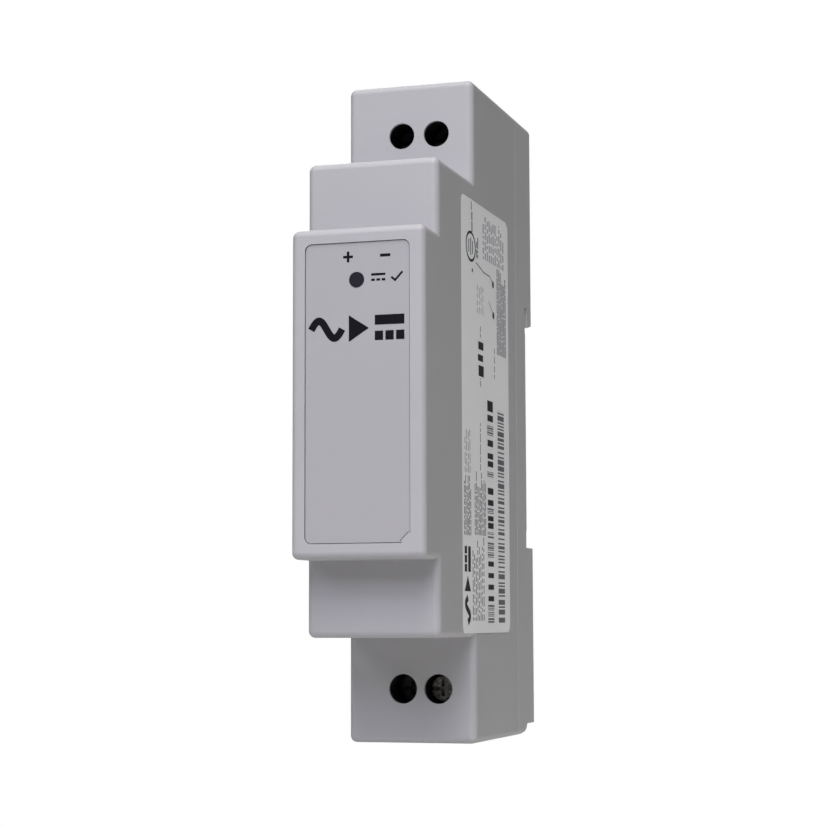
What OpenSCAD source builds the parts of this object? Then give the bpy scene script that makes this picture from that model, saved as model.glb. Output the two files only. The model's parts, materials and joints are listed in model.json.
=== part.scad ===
// Slim DIN rail power supply, one module wide, for a 35 mm top-hat rail.
// Millimetres. +X is to the right, +Y runs from the front to the rail, +Z is up.
// The origin is on the rail seat, at the middle of the rail's front face.

/* [Case] */
// Width of the case along the rail
case_w = 18; // [17.8:0.1:18.4]
// Height of the case over both terminal ends
case_h = 91; // [90:0.5:92]
// Depth from the nose to the back of the feet
case_d = 55.6; // [55:0.2:57]
// Height of the nose
nose_h = 42.5; // [42:0.1:43]
// Height of the middle step
mid_h = 62.4; // [61.8:0.2:63]
// How far the middle step lies behind the nose
mid_step = 6.2; // [6:0.1:6.4]
// How far the terminal faces lie behind the nose
base_step = 22.95; // [22.7:0.05:23.2]
// Wall thickness of the case
wall = 1.5; // [1.4:0.1:1.6]
// Radius of the shell's outer edges and corners
edge_r = 0.9; // [0.8:0.1:1]
// Distance of the joint between shell and base in front of the rail seat
joint_d = 5.6; // [5.4:0.1:5.8]

/* [Rail foot] */
// How far the feet stand out behind the rail seat
foot_d = 4.3; // [4.2:0.1:4.6]
// Height of the rail
rail_h = 35; // [35:0.1:35.3]
// Thickness of the rail's flange
rail_t = 1; // [1:0.1:1.2]
// How far the fixed hook reaches over the flange
hook_overlap = 2.9; // [2.7:0.1:3]
// How far the latch reaches over the flange
latch_overlap = 1.1; // [0.8:0.1:1.2]
// Width of the latch plate
latch_w = 10; // [9.6:0.1:10.4]
// How far the latch is pulled down to free the rail
latch_travel = 3; // [2.5:0.1:3]

/* [Terminals] */
// Distance between the two poles of a terminal block
pole_pitch = 5; // [5:0.04:5.08]
// Offset of each pair of poles from the middle of the case
pair_x = 1.25; // [1.05:0.05:1.3]
// Height of the poles above and below the rail's middle
pole_z = 38.2; // [38:0.1:38.4]
// Diameter of the driver holes over the output screws
top_hole_d = 3.65; // [3.6:0.05:3.8]
// Diameter of the driver holes over the input screws
bottom_hole_d = 4; // [3.8:0.05:4.1]
// Diameter of the wire entries
wire_hole_d = 3.5; // [3.3:0.1:3.6]
// Thread diameter of the clamp screws
screw_d = 2.5; // [2.5:0.1:2.5]
// Thread pitch of the clamp screws
screw_pitch = 0.45; // [0.4:0.01:0.45]
// Turns from closed to fully open
screw_turns = 6; // [5:1:6]
// Turns by which the neutral screw is backed out
neutral_turns = 5; // [0:1:5]

/* [Front label] */
// Left edge of the label recess
label_left = -7.1; // [-7.2:0.05:-7]
// Right edge of the label recess
label_right = 7.05; // [7:0.05:7.2]
// Lower edge of the label recess
label_low = -19.3; // [-19.4:0.1:-19]
// Upper edge of the label recess
label_high = 19.3; // [19:0.1:19.4]
// Diameter of the status window
window_d = 1.95; // [1.9:0.05:2]
// Sideways place of the status window
window_x = -0.1; // [-0.3:0.1:0]
// Height of the status window
window_z = 14.4; // [14.2:0.1:14.5]

/* [Board] */
// Distance of the board's component side from the left outer wall
board_x = 4.2; // [4.2:0.1:4.3]
// Thickness of the circuit board
board_t = 1.2; // [1:0.1:1.2]

/* [Hidden] */

$fn = 48;
eps = 0.01;
half_w = case_w / 2;
half_h = case_h / 2;
inner_x = half_w - wall;

// Planes from front to back
nose_y = foot_d - case_d;
mid_y = nose_y + mid_step;
base_y = nose_y + base_step;
joint_y = -joint_d;

joint_chamfer = 0.15;
back_r = 0.9;

// Rail foot
rail_top = rail_h / 2;
play = 0.1;
groove_d = rail_t + 0.3;
hook_z = rail_top + play - hook_overlap;
hook_slope = 0.7;
seat_relief = 0.2;
seat_high = 15.4;
seat_low = -15.8;
foot_z = -rail_top - 0.8;
foot_end_z = -44;
foot_r = 0.8;
channel_y = 0.45;
channel_gap = 0.15;
flange_t = 1.25;
flange_reach = 1.2;
flange_low = -38;
flange_high = -20;
latch_y = channel_y + play;
latch_back = foot_d - 0.35;
latch_end_z = -45.3;
latch_tip_z = -rail_top + latch_overlap;
spring_r = 1;
spring_wire_r = 0.16;
spring_coils = 7;
spring_low = -32.8;
spring_high = -24.1;
spring_y = 1.75;
rib_t = 1;

// Poles: the left and right pole of each pair
left_pole = pair_x - pole_pitch / 2;
right_pole = pair_x + pole_pitch / 2;
poles = [left_pole, right_pole];

// Clamp, from the driver hole to the wire seat
head_r = 1.65;
head_h = 1.8;
head_y = base_y + 4.7;
hole_rim = 0.5;
screw_r = screw_d / 2;
neck_r = 0.7;
neck_l = 0.5;
run_gap = 0.05;
plate_y = -12;
plate_t = 0.8;
plate_half = 1.75;
seat_y = -11;
metal_t = 0.8;
nut_y = -18.9;
nut_t = 1.8;
wire_y = seat_y - (screw_turns * screw_pitch + 0.2) / 2;
block_left = -half_w + board_x;
block_right = 6.4;
block_front = base_y + wall + 0.15;
block_back = -9.6;
block_low = 34;
block_high = 43.9;
bracket_low = 35.5;
bracket_high = 40.6;
strip_y = [-12, -17];

// Front label
label_depth = 0.4;
label_t = 0.25;
label_gap = 0.1;
label_r = 0.9;
label_chamfer = 1.1;
nose_wall = wall + 0.3;

// Side label
side_label_front = -34.4;
side_label_back = -9.9;
side_label_low = -30.8;
side_label_high = 28.6;
side_label_r = 1.3;
side_label_t = 0.08;
side_label_depth = 0.1;

// Board
board_face = -half_w + board_x;
board_back = board_face - board_t;
board_gap = 0.3;
lead_r = 0.3;

// Where each component's leads meet the board, as [y, z]
fuse_at = [-20.4, -19.6];
fuse_leads = [[-20.4, -22.1], [-20.4, -17.1]];
varistor_at = [-10.6, -15.4];
varistor_leads = [[-13.1, -15.4], [-8.1, -15.4]];
thermistor_at = [-10.6, -9.8];
thermistor_leads = [[-13.1, -9.8], [-8.1, -9.8]];
filter_cap_at = [-19.3, -29.5];
filter_cap_leads = [[-24.3, -29.5], [-14.3, -29.5]];
choke_at = [-7.8, -26];
choke_leads = [for (y = [-3, 3], z = [-3, 3]) [choke_at[0] + y, choke_at[1] + z]];
bridge_at = [-11.4, -2.6];
bridge_leads = [for (i = [-1.5:1:1.5]) [bridge_at[0] + i * 2.54, bridge_at[1]]];
bulk_z = [-22.8, -12.6];
bulk_y = [-43.5, -28.2];
bulk_r = 4.75;
transformer_at = [-26.8, 2.6];
transformer_leads = [for (s = [-1, 1], i = [-1.5:1:1.5])
    [transformer_at[0] + i * 3, transformer_at[1] + s * 9.1]];
controller_at = [-10.4, 6.8];
controller_leads = [for (s = [-1, 1], i = [-1.5:1:1.5])
    [controller_at[0] + s * 3.8, controller_at[1] + i * 2.54]];
bypass_at = [-42, 3];
bypass_leads = [[-44.5, 3], [-39.5, 3]];
opto_at = [-10.4, 15.8];
opto_leads = [for (s = [-1, 1], i = [-0.5, 0.5])
    [opto_at[0] + s * 3.8, opto_at[1] + i * 2.54]];
diode_at = [-38.4, 22.7];
diode_leads = [for (s = [-1, 1]) [diode_at[0], diode_at[1] + s * 5.8]];
inductor_at = [-20.4, 19.2];
inductor_leads = [[-22.9, 19.2], [-17.9, 19.2]];
out_cap_r = 4;
out_cap_z = [24.4, 29.4];
out_cap_y = [[-34.4, -26.6], [-24.6, -10.6]];
led_leads = [[-37.6, window_z - 1.27], [-37.6, window_z + 1.27]];
resistor_at = [[-4.4, -0.6], [-4.4, 10.8], [-36.8, -3.4], [-44.2, 10]];
chip_at = [
    [-30, -26], [-26, -24], [-34, -18], [-30, -14], [-26, -12], [-34, -10], [-36, 6], [-32, 2],
    [-28, 6], [-24, 2], [-20, 8], [-18, 24], [-14, 22], [-10, 24], [-30, 18], [-26, 22], [-34, 22]
];

// ---------------------------------------------------------------- helpers

// Extrudes an outline drawn as (y, z) along X, centred
module along_x(length) {
    rotate([90, 0, 90])
        translate([0, 0, -length / 2])
            linear_extrude(length) children();
}

// Extrudes an outline drawn as (x, z) from y0 to y1
module along_y(y0, y1) {
    translate([0, y1, 0])
        rotate([90, 0, 0])
            linear_extrude(y1 - y0) children();
}

// A box given by its limits
module box(x, y, z) {
    translate([x[0], y[0], z[0]])
        cube([x[1] - x[0], y[1] - y[0], z[1] - z[0]]);
}

// A round bar along X between two places, at [y, z]
module rod_x(r, x, at = [0, 0]) {
    translate([x[0], at[0], at[1]])
        rotate([0, 90, 0]) cylinder(r = r, h = x[1] - x[0]);
}

// A round bar along Y between two places, at [x, z]
module rod_y(r, y, at = [0, 0]) {
    translate([at[0], y[1], at[1]])
        rotate([90, 0, 0]) cylinder(r = r, h = y[1] - y[0]);
}

// A round bar along Z between two heights, at [x, y]
module rod_z(r, z, at = [0, 0]) {
    translate([at[0], at[1], z[0]]) cylinder(r = r, h = z[1] - z[0]);
}

// A rectangle from a to b whose corners are rounded, but for the ends named square:
// "high_x" leaves both corners at the larger x square
module round_rect(a, b, r, square_end = "none") {
    end_x = square_end == "high_x" ? b[0] : b[0] - r;
    translate([a[0], a[1] + r]) square([b[0] - a[0], b[1] - a[1] - 2 * r]);
    translate([a[0] + r, a[1]]) square([end_x - a[0] - r, b[1] - a[1]]);
    for (y = [a[1] + r, b[1] - r]) {
        translate([a[0] + r, y]) circle(r);
        if (square_end == "none") translate([b[0] - r, y]) circle(r);
    }
}

// Mirrors its children to the lower half as well
module both_ends() {
    children();
    mirror([0, 0, 1]) children();
}

// ---------------------------------------------------------------- case

// A block that leaves a ball at the corner that three edges of one radius meet in
module corner_cut() {
    difference() {
        translate([0, -edge_r - 1, 0])
            cube([edge_r + 1, edge_r + 1, edge_r + 1]);
        sphere(edge_r);
    }
}

// One step of the case: a bar of full width, rounded along every outer edge
module case_step(front, height) {
    difference() {
        intersection() {
            along_x(case_w)
                round_rect([front, -height / 2], [joint_y, height / 2], edge_r, "high_x");
            along_y(front, joint_y)
                round_rect([-half_w, -height / 2], [half_w, height / 2], edge_r);
            translate([0, 0, -height / 2])
                linear_extrude(height)
                    rotate(90)
                        round_rect([front, -half_w], [joint_y, half_w], edge_r, "high_x");
        }
        for (x = [-1, 1], z = [-1, 1])
            scale([x, 1, z])
                translate([half_w - edge_r, front + edge_r, height / 2 - edge_r])
                    corner_cut();
    }
}

// The hollow of one step, open towards the base
module case_hollow(front, height, front_wall) {
    box([-inner_x, inner_x], [front + front_wall, joint_y + 1],
        [wall - height / 2, height / 2 - wall]);
}

// Outline of the front label, shrunk by a gap
module label_outline(gap) {
    difference() {
        round_rect([label_left + gap, label_low + gap],
                   [label_right - gap, label_high - gap], label_r - gap);
        translate([label_right - gap, label_low + gap])
            rotate(45) square([1.42 * label_chamfer, 2 * label_chamfer], center = true);
    }
}

// Outline of the side label as (y, z), shrunk by a gap
module side_label_outline(gap) {
    round_rect([side_label_front + gap, side_label_low + gap],
               [side_label_back - gap, side_label_high - gap], side_label_r);
}

// Slots that let warm air through the faces of the middle step
module vent_slots() {
    slot_l = 10;
    slot_w = 1.2;
    slot_gap = 2.6;
    both_ends()
        for (i = [0:3])
            translate([0, mid_y + 4.4 + i * slot_gap, mid_h / 2 - wall - 1])
                linear_extrude(wall + 2)
                    round_rect([-slot_l / 2, -slot_w / 2], [slot_l / 2, slot_w / 2], 0.55);
}

module front_shell() {
    hook_pocket = 0.6;
    rib_x = [board_back - 0.05, board_face + 0.05];
    color("#b4b3b9") {
        difference() {
            union() {
                case_step(nose_y, nose_h);
                case_step(mid_y, mid_h);
                case_step(base_y, case_h);
            }
            case_hollow(nose_y, nose_h, nose_wall);
            case_hollow(mid_y, mid_h, wall);
            case_hollow(base_y, case_h, wall);
            along_y(nose_y - 1, nose_y + label_depth) label_outline(0);
            translate([half_w + 1 - side_label_depth, 0, 0])
                along_x(2) side_label_outline(0);
            rod_y(window_d / 2 + run_gap, [nose_y - 1, nose_y + 3], [window_x, window_z]);
            for (x = poles) {
                rod_y(top_hole_d / 2, [base_y - 1, base_y + 3], [x, pole_z]);
                rod_y(bottom_hole_d / 2, [base_y - 1, base_y + 3], [x, -pole_z]);
                rod_z(wire_hole_d / 2, [-half_h - 1, -half_h + 3], [x, wire_y]);
                rod_z(wire_hole_d / 2, [half_h - 3, half_h + 1], [x, wire_y]);
            }
            // Behind the driver holes the front wall is thin
            both_ends()
                box([left_pole - 2.4, right_pole + 2.4], [base_y + hole_rim, base_y + wall + 1],
                    [pole_z - 2.4, pole_z + 2.4]);
            both_ends()
                box([-4.2, 4.2], [-8.8, -7.2],
                    [half_h - wall - 1, half_h - wall + hook_pocket]);
            vent_slots();
        }
        // Ribs that hold the front edge of the board
        for (z = [-15, 12], side = [0, 1])
            box(side == 0 ? [rib_x[0] - 0.9, rib_x[0]] : [rib_x[1], rib_x[1] + 0.9],
                [nose_y + nose_wall - eps, nose_y + nose_wall + 2.2], [z, z + 3]);
    }
}

// Cuts a 45 degree chamfer of a size at a corner of an outline
module chamfer_at(at, size) {
    translate(at) rotate(45) square(sqrt(2) * size, center = true);
}

// Side view of the base, from the joint to the back of the feet
module base_outline() {
    lip_y = groove_d;
    corner_r = 2.6;
    difference() {
        union() {
            translate([joint_y, -half_h]) square([joint_d, case_h]);
            translate([-1, hook_z])
                square([foot_d + 1 - corner_r, half_h - hook_z]);
            translate([-1, hook_z])
                square([foot_d + 1, half_h - hook_z - corner_r]);
            translate([foot_d - corner_r, half_h - corner_r]) circle(corner_r);
            round_rect([-4, foot_end_z], [foot_d, foot_z], foot_r);
        }
        // The groove behind the hook, and the slope that leads the rail in
        translate([-seat_relief, hook_z - 1])
            square([lip_y + seat_relief, 1 + hook_overlap]);
        polygon([
            [lip_y - eps, hook_z - eps], [foot_d + 1, hook_z - eps],
            [foot_d + 1, hook_z + hook_slope * 1.3], [foot_d, hook_z + hook_slope]
        ]);
        // The seat between the feet, with a relief at both ends, where the hooks reach over
        translate([0, foot_z]) square([1, hook_z - foot_z]);
        translate([-seat_relief, seat_high]) square([1, rail_top + play - seat_high]);
        translate([-seat_relief, foot_z]) square([1, seat_low - foot_z]);
        // The bevel under the lower foot
        polygon([
            [-0.4, foot_end_z], [1, foot_end_z], [1, -half_h - 1],
            [-3, -half_h - 1], [-3, -half_h], [-1.4, -half_h + 0.4]
        ]);
        for (z = [-half_h, half_h])
            chamfer_at([joint_y, z], joint_chamfer);
    }
}

// The channel that the latch slides in
module latch_channel() {
    half = latch_w / 2 + channel_gap;
    box([-half, half], [channel_y, foot_d + 1], [-half_h - 1, foot_z + 1]);
    box([-half - flange_reach, half + flange_reach],
        [channel_y, latch_y + flange_t + channel_gap],
        [flange_low - latch_travel - play, flange_high + play]);
}

module rear_base() {
    tab_t = 1.2;
    tab_gap = 0.05;
    lip_t = 0.8;
    rib_x = [board_back - 0.05, board_face + 0.05];
    color("#b0afb5") {
        difference() {
            intersection() {
                along_x(case_w) base_outline();
                along_y(joint_y - 1, foot_d + 1)
                    round_rect([-half_w, -half_h], [half_w, half_h], edge_r);
                translate([0, 0, -half_h])
                    linear_extrude(case_h)
                        rotate(-90)
                            difference() {
                                round_rect([-foot_d, -half_w], [joint_d, half_w], back_r,
                                           "high_x");
                                for (x = [-half_w, half_w])
                                    chamfer_at([joint_d, x], joint_chamfer);
                            }
            }
            box([-inner_x, inner_x], [joint_y - 1, -wall], [wall - half_h, half_h - wall]);
            box([-inner_x, inner_x], [-wall - 1, foot_d - wall],
                [rail_top + 2, half_h - wall - 0.4]);
            latch_channel();
        }
        // Stop for the spring, inside the latch's pocket
        box([-1.3, 1.3], [channel_y - 0.2, 2.75], [spring_low - rib_t, spring_low]);
        // Snap tabs with a barb, and the lips that locate the shell
        both_ends() {
            box([-4, 4], [-9.2, joint_y + 1],
                [half_h - wall - tab_gap - tab_t, half_h - wall - tab_gap]);
            box([-4, 4], [-8.6, -7.4],
                [half_h - wall - tab_gap - eps, half_h - wall + 0.45]);
            box([-4, 4], [joint_y + 0.9, joint_y + 2],
                [half_h - wall - tab_gap - tab_t, half_h - wall + eps]);
        }
        for (s = [-1, 1])
            scale([s, 1, 1]) {
                box([inner_x - tab_gap - lip_t, inner_x - tab_gap],
                    [joint_y - 2.4, joint_y + 1], [-42, 42]);
                box([inner_x - tab_gap - lip_t, inner_x + eps],
                    [joint_y + 0.3, joint_y + 2], [-42, 42]);
            }
        // Ribs that hold the rear edge of the board
        for (z = [-31, 28], side = [0, 1])
            box(side == 0 ? [rib_x[0] - 0.8, rib_x[0]] : [rib_x[1], rib_x[1] + 0.8],
                [-3.6, (z < 0 ? 0 : foot_d) - wall + eps], [z, z + 3]);
    }
}

module rail_latch() {
    half = latch_w / 2;
    color("#a9a8ad")
        difference() {
            union() {
                along_x(latch_w)
                    polygon([
                        [latch_y, latch_end_z], [latch_back, latch_end_z],
                        [latch_back, latch_tip_z - 2.6], [rail_t + 0.8, latch_tip_z],
                        [rail_t + 0.2, latch_tip_z], [rail_t + 0.2, foot_z - 0.05],
                        [latch_y, foot_z - 0.05]
                    ]);
                box([-half - flange_reach, half + flange_reach],
                    [latch_y, latch_y + flange_t], [flange_low, flange_high]);
            }
            // Pocket for the spring, and the slot for a screwdriver
            box([-1.45, 1.45], [0, 2.95], [spring_low - rib_t - 0.2, spring_high + play]);
            box([-2.2, 2.2], [0, foot_d], [-43.8, -42]);
        }
}

// A ring of points round a place on the spring's helix
function helix_point(t) = [
    spring_r * cos(360 * spring_coils * t),
    spring_r * sin(360 * spring_coils * t),
    spring_wire_r + (spring_high - spring_low - 2 * spring_wire_r) * t
];
function helix_ring(t, sides) = [for (i = [0:sides - 1])
    let (p = helix_point(t), turn = 360 * spring_coils * t, a = 360 * i / sides)
    p + spring_wire_r * [cos(a) * cos(turn), cos(a) * sin(turn), sin(a)]
];

module latch_spring() {
    sides = 8;
    rings = 14 * spring_coils;
    last = rings * sides;
    points = [for (k = [0:rings]) each helix_ring(k / rings, sides)];
    faces = concat(
        [[for (i = [0:sides - 1]) i]],
        [for (k = [0:rings - 1], i = [0:sides - 1])
            [k * sides + i, (k + 1) * sides + i,
             (k + 1) * sides + (i + 1) % sides, k * sides + (i + 1) % sides]],
        [[for (i = [sides - 1:-1:0]) last + i]]
    );
    color("silver")
        translate([0, spring_y, spring_low])
            polyhedron(points = points, faces = faces, convexity = 10);
}

// ---------------------------------------------------------------- labels and light

module front_label() {
    color("#aeadb3")
        difference() {
            along_y(nose_y + label_depth - label_t, nose_y + label_depth)
                label_outline(label_gap);
            rod_y(window_d / 2 + run_gap, [nose_y - 1, nose_y + 1], [window_x, window_z]);
        }
}

module side_label() {
    color("#c8c7c9")
        translate([half_w - side_label_depth + side_label_t / 2, 0, 0])
            along_x(side_label_t) side_label_outline(0.1);
}

module status_window() {
    color("#3c3d42")
        rod_y(window_d / 2, [nose_y + 0.1, nose_y + 1], [window_x, window_z]);
}

module light_pipe() {
    pipe_end = nose_y + 6.7;
    color("#dfe6ea", 0.6) {
        rod_y(window_d / 2, [nose_y + 1, pipe_end], [window_x, window_z]);
        rod_y(1.5, [nose_y + nose_wall, nose_y + nose_wall + 0.7], [window_x, window_z]);
    }
}

module status_led() {
    led_y = nose_y + 6.8;
    led_r = 1.5;
    bend_y = led_leads[0][0];
    color("#8fc48f") {
        translate([window_x, led_y + led_r, window_z]) sphere(led_r);
        rod_y(led_r, [led_y + led_r, led_y + 4.2], [window_x, window_z]);
        rod_y(1.8, [led_y + 4.2, led_y + 5.2], [window_x, window_z]);
        for (lead = led_leads) {
            box([window_x - 0.25, window_x + 0.25], [led_y + 5, bend_y + 0.25],
                [lead[1] - 0.25, lead[1] + 0.25]);
            box([board_face, window_x], [bend_y - 0.25, bend_y + 0.25],
                [lead[1] - 0.25, lead[1] + 0.25]);
        }
    }
}

// ---------------------------------------------------------------- board

// Outline of the board as (y, z): it follows the steps of the case
module board_outline(gap) {
    front_edges = [[nose_y + nose_wall, nose_h], [mid_y + wall, mid_h], [base_y + wall, case_h]];
    for (edge = front_edges)
        translate([edge[0] + gap, wall + gap - edge[1] / 2])
            square([-wall - gap - edge[0] - gap, edge[1] - 2 * wall - 2 * gap]);
}

module circuit_board() {
    tab_room = 1.6;
    color("#2f6b46")
        difference() {
            translate([board_face - board_t / 2, 0, 0])
                along_x(board_t) board_outline(board_gap);
            // Room for the snap tabs of the base
            both_ends()
                box([board_back - 1, board_face + 1], [-9.6, 0],
                    [half_h - wall - tab_room, half_h]);
        }
}

module insulation_sheet() {
    sheet_t = 0.2;
    color("#e8e4d0", 0.8)
        difference() {
            translate([-inner_x + 0.1 + sheet_t / 2, 0, 0])
                along_x(sheet_t) board_outline(board_gap + 0.4);
            box([-half_w, 0], [joint_y - 2.8, 0], [-half_h, half_h]);
        }
}

// Round leads from the board up to a height
module leads(list, height, r = lead_r) {
    for (at = list) rod_x(r, [board_face, board_face + height], at);
}

function flat_lists() = concat(
    fuse_leads, varistor_leads, thermistor_leads, filter_cap_leads, choke_leads,
    bridge_leads, transformer_leads, controller_leads, bypass_leads, opto_leads,
    diode_leads, inductor_leads, led_leads
);

module solder_joints() {
    joint_h = 0.6;
    color("#c9ccd0")
        for (at = flat_lists())
            translate([board_back, at[0], at[1]])
                rotate([0, -90, 0]) cylinder(r1 = 0.8, r2 = 0.35, h = joint_h, $fn = 24);
}

module chip_parts() {
    chip = [0.55, 2, 1.25];
    color("#2a2a2c")
        for (at = chip_at)
            translate([board_back - chip[0], at[0], at[1]]) cube(chip);
}

// ---------------------------------------------------------------- terminals

// The insulating body of the upper pair of poles
module terminal_block() {
    chamber_half = 2.05;
    head_room_r = 2.35;
    wire_room_r = 1.5;
    difference() {
        box([block_left, block_right], [block_front, block_back], [block_low, block_high]);
        for (i = [0, 1]) {
            x = poles[i];
            rod_y(head_room_r, [block_front - 1, head_y + head_h + 0.2], [x, pole_z]);
            rod_y(screw_r + 0.25, [head_y, nut_y], [x, pole_z]);
            box([x - chamber_half, x + chamber_half], [nut_y - 0.15, seat_y + metal_t + 0.15],
                [bracket_low - 0.15, bracket_high + 0.15]);
            rod_z(wire_room_r, [pole_z, block_high + 1], [x, wire_y]);
            box([block_left - 1, x + 0.7], [strip_y[i] - 0.65, strip_y[i] + 0.65],
                [block_low - 1, bracket_low]);
        }
    }
}

// The metal of both poles: a nut plate, a wire seat, a web between, and a solder strip
module terminal_contacts() {
    half = 1.9;
    strip_z = [bracket_low - 1.2, bracket_low - 0.4];
    for (i = [0, 1]) {
        x = poles[i];
        difference() {
            union() {
                box([x - half, x + half], [nut_y, nut_y + nut_t], [bracket_low, bracket_high]);
                box([x - half, x + half], [seat_y, seat_y + metal_t], [bracket_low, bracket_high]);
                box([x - half, x + half], [nut_y, seat_y + metal_t],
                    [bracket_low, bracket_low + 0.7]);
            }
            rod_y(screw_r + run_gap, [nut_y - 1, nut_y + nut_t + 1], [x, pole_z]);
        }
        box([x - 0.5, x + 0.5], [strip_y[i] - 0.5, strip_y[i] + 0.5],
            [strip_z[0], bracket_low + eps]);
        box([board_face, x + 0.5], [strip_y[i] - 0.5, strip_y[i] + 0.5], strip_z);
    }
}

module output_terminal_block() {
    color("#3f6f4a") terminal_block();
}

module input_terminal_block() {
    color("#3f6f4a") mirror([0, 0, 1]) terminal_block();
}

module output_contacts() {
    color("#c9a24a") terminal_contacts();
}

module input_contacts() {
    color("#c9a24a") mirror([0, 0, 1]) terminal_contacts();
}

// A clamp screw with a slot and a cross, turned out by a distance
module clamp_screw(x, z, out) {
    slot_w = 0.55;
    slot_depth = 0.8;
    cross_reach = 1.05;
    color("#b9bcc0")
        translate([x, -out, z])
            difference() {
                union() {
                    rod_y(head_r, [head_y, head_y + head_h]);
                    rod_y(screw_r, [head_y + head_h - eps, plate_y]);
                    rod_y(neck_r, [plate_y - eps, plate_y + neck_l]);
                }
                box([-head_r - 1, head_r + 1], [head_y - 1, head_y + slot_depth],
                    [-slot_w / 2, slot_w / 2]);
                box([-slot_w / 2, slot_w / 2], [head_y - 1, head_y + slot_depth + 0.3],
                    [-cross_reach, cross_reach]);
                box([-cross_reach, cross_reach], [head_y - 1, head_y + slot_depth + 0.3],
                    [-slot_w / 2, slot_w / 2]);
            }
}

// The plate that the screw presses onto the wire
module clamp_plate(x, z, out) {
    color("#d0d2d6")
        translate([x, -out, z])
            difference() {
                box([-plate_half, plate_half], [plate_y, plate_y + plate_t],
                    [-plate_half, plate_half]);
                rod_y(neck_r + run_gap, [plate_y - 1, plate_y + neck_l + 0.05]);
            }
}

module plus_screw() { clamp_screw(left_pole, pole_z, 0); }
module minus_screw() { clamp_screw(right_pole, pole_z, 0); }
module line_screw() { clamp_screw(left_pole, -pole_z, 0); }
module neutral_screw() { clamp_screw(right_pole, -pole_z, neutral_turns * screw_pitch); }
module plus_clamp_plate() { clamp_plate(left_pole, pole_z, 0); }
module minus_clamp_plate() { clamp_plate(right_pole, pole_z, 0); }
module line_clamp_plate() { clamp_plate(left_pole, -pole_z, 0); }
module neutral_clamp_plate() { clamp_plate(right_pole, -pole_z, neutral_turns * screw_pitch); }

// ---------------------------------------------------------------- input side

module fuse() {
    body_r = 4.2;
    color("#4a3a30") {
        rod_x(body_r, [board_face + 0.6, board_face + 8.2], fuse_at);
        leads(fuse_leads, 1);
    }
}

// A round disc that stands on two leads, its flat sides facing up and down
module disc_part(at, list, r, thickness) {
    translate([board_face + 1.6 + r, at[0], at[1] - thickness / 2])
        rotate_extrude()
            union() {
                square([r - thickness / 2, thickness]);
                intersection() {
                    translate([r - thickness / 2, thickness / 2]) circle(thickness / 2);
                    square([r, thickness]);
                }
            }
    leads(list, 1.6 + r);
}

module inrush_thermistor() {
    color("#2f3a34") disc_part(thermistor_at, thermistor_leads, 3.9, 3.2);
}

module varistor() {
    color("#3b62a0") disc_part(varistor_at, varistor_leads, 4.2, 3.4);
}

module line_filter_capacitor() {
    size = [10.6, 12.8, 5.6];
    color("#d9c04a") {
        translate([board_face + 0.3, filter_cap_at[0] - size[1] / 2,
                   filter_cap_at[1] - size[2] / 2])
            cube(size);
        leads(filter_cap_leads, 0.5);
    }
}

choke_core_r = [3, 5];
choke_core_h = 7;
choke_x = board_face + 4.6;

// Places its children at the middle of the choke, with the ring's axis along Z
module at_choke() {
    translate([choke_x, choke_at[0], choke_at[1]]) rotate([0, 90, 0]) children();
}

module filter_choke_core() {
    color("#3a3f3c")
        at_choke()
            translate([0, 0, -choke_core_h / 2])
                rotate_extrude()
                    translate([choke_core_r[0], 0])
                        square([choke_core_r[1] - choke_core_r[0], choke_core_h]);
}

// Two windings on opposite sides of the ring
module filter_choke_windings() {
    wire = 0.5;
    slack = 0.1;
    turn_angle = 16;
    section = [choke_core_r[1] - choke_core_r[0] + slack, choke_core_h + slack];
    middle_r = (choke_core_r[0] + choke_core_r[1]) / 2;
    color("#b5652c") {
        at_choke()
            for (side = [0, 180], i = [-3:3])
                rotate([0, 0, side + i * turn_angle])
                    translate([middle_r, 0, 0])
                        difference() {
                            cube([section[0] + 2 * wire, wire, section[1] + 2 * wire],
                                 center = true);
                            cube([section[0], 1, section[1]], center = true);
                        }
        leads(choke_leads, 1, 0.25);
    }
}

module bridge_rectifier() {
    size = [8.8, 10.4, 3.2];
    color("#262626") {
        translate([board_face + 2, bridge_at[0] - size[1] / 2, bridge_at[1] - size[2] / 2])
            cube(size);
        leads(bridge_leads, 2.2);
    }
}

// A can capacitor that lies along Y, its leads bent down to the board at the rear
module can_capacitor(r, y, z) {
    groove = 0.35;
    groove_y = y[1] - 1.8;
    x = board_face + r + 0.05;
    rod_y(r, [y[0], groove_y - 0.4], [x, z]);
    rod_y(r - groove, [groove_y - 0.5, groove_y + 0.5], [x, z]);
    rod_y(r, [groove_y + 0.4, y[1]], [x, z]);
    for (s = [-1, 1]) {
        rod_y(lead_r, [y[1] - eps, y[1] + 1.2], [x, z + s * r / 2]);
        rod_x(lead_r, [board_face, x + lead_r], [y[1] + 0.9, z + s * r / 2]);
    }
}

module bulk_capacitor_low() {
    color("#23262e") can_capacitor(bulk_r, bulk_y, bulk_z[0]);
}

module bulk_capacitor_high() {
    color("#23262e") can_capacitor(bulk_r, bulk_y, bulk_z[1]);
}

// ---------------------------------------------------------------- conversion

core_size = [4.6, 16.2, 14.3];
core_leg = 2.2;
core_centre = 4;
core_back = 2.1;
core_x = board_face + 6;
winding_half = [4.3, 5.6, 4.2];

// Places its children at the middle of the transformer
module at_transformer() {
    translate([core_x, transformer_at[0], transformer_at[1]]) children();
}

module transformer_core() {
    window_y = core_size[1] / 2 - core_leg - core_centre / 2;
    color("#3d4044")
        at_transformer()
            difference() {
                cube(core_size, center = true);
                for (s = [-1, 1])
                    translate([0, s * (core_centre / 2 + window_y / 2), 0])
                        cube([core_size[0] + 2, window_y, core_size[2] - 2 * core_back],
                             center = true);
            }
}

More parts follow.
